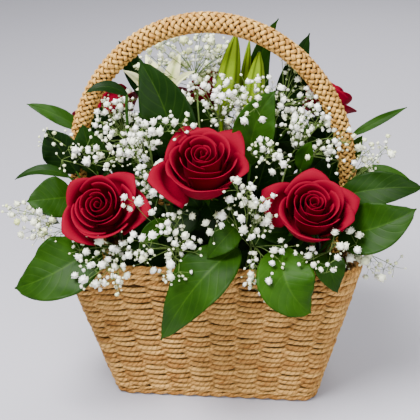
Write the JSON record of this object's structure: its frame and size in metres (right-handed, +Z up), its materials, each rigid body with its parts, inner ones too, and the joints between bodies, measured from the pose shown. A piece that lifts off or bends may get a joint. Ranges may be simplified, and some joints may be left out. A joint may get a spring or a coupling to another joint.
{
  "type": "flower basket arrangement",
  "caption": "Woven rush basket with an arched plaited handle, holding red roses, lilies, broad leaves and white gypsophila in a lined block of floral foam.",
  "frame": {"origin": "middle of the underside of the basket, on the surface it stands on", "axes": "+Z up, -Y towards the front of the arrangement, X along the length of the basket and in the plane of the handle"},
  "size_m": [0.4054, 0.2565, 0.3959],
  "materials": {
    "woven_rush": "dry twisted rush cord, woven, matt with a slight straw sheen",
    "plaited_rush": "pale plaited rush, matt with a slight straw sheen",
    "liner_film": "dark smooth film",
    "foam": "fine dull foam",
    "rose_petal": "deep crimson velvet, darker at the petal rims",
    "stem_green": "smooth plant stem",
    "lily_petal": "soft white with green midribs",
    "lily_green": "smooth yellow-green, ribbed",
    "leaf": "waxy dark green, semi-gloss, with paler veins",
    "gypsophila": "white ruffled florets on fine green stems"
  },
  "bodies": {
    "root": {"basket_body": "woven_rush", "floral_foam": "foam", "foot_border": "woven_rush", "gypsophila_01": "gypsophila", "gypsophila_02": "gypsophila", "gypsophila_03": "gypsophila", "gypsophila_04": "gypsophila", "gypsophila_05": "gypsophila", "gypsophila_06": "gypsophila", "gypsophila_07": "gypsophila", "gypsophila_08": "gypsophila", "gypsophila_09": "gypsophila", "gypsophila_10": "gypsophila", "gypsophila_11": "gypsophila", "gypsophila_12": "gypsophila", "gypsophila_13": "gypsophila", "gypsophila_14": "gypsophila", "gypsophila_15": "gypsophila", "gypsophila_16": "gypsophila", "handle": "plaited_rush", "leaves_back_centre": "leaf", "leaves_back_left": "leaf", "leaves_back_right": "leaf", "leaves_behind_left": "leaf", "leaves_behind_right": "leaf", "leaves_big_upright": "leaf", "leaves_front_left_low": "leaf", "leaves_hanging_front": "leaf", "leaves_hanging_round": "leaf", "leaves_left_high": "leaf", "leaves_left_middle": "leaf", "leaves_left_shoulder": "leaf", "leaves_right_high": "leaf", "leaves_right_low": "leaf", "leaves_right_middle": "leaf", "leaves_right_of_centre": "leaf", "leaves_twisted_front": "leaf", "lily_bloom": "lily_petal", "lily_stem_and_buds": "lily_green", "liner": "liner_film", "rim_border": "woven_rush", "rose_back_centre": "rose_petal", "rose_back_centre_stem": "stem_green", "rose_back_left": "rose_petal", "rose_back_left_stem": "stem_green", "rose_back_right": "rose_petal", "rose_back_right_stem": "stem_green", "rose_centre": "rose_petal", "rose_centre_stem": "stem_green", "rose_left": "rose_petal", "rose_left_stem": "stem_green", "rose_right": "rose_petal", "rose_right_stem": "stem_green"}
  },
  "joints": []
}
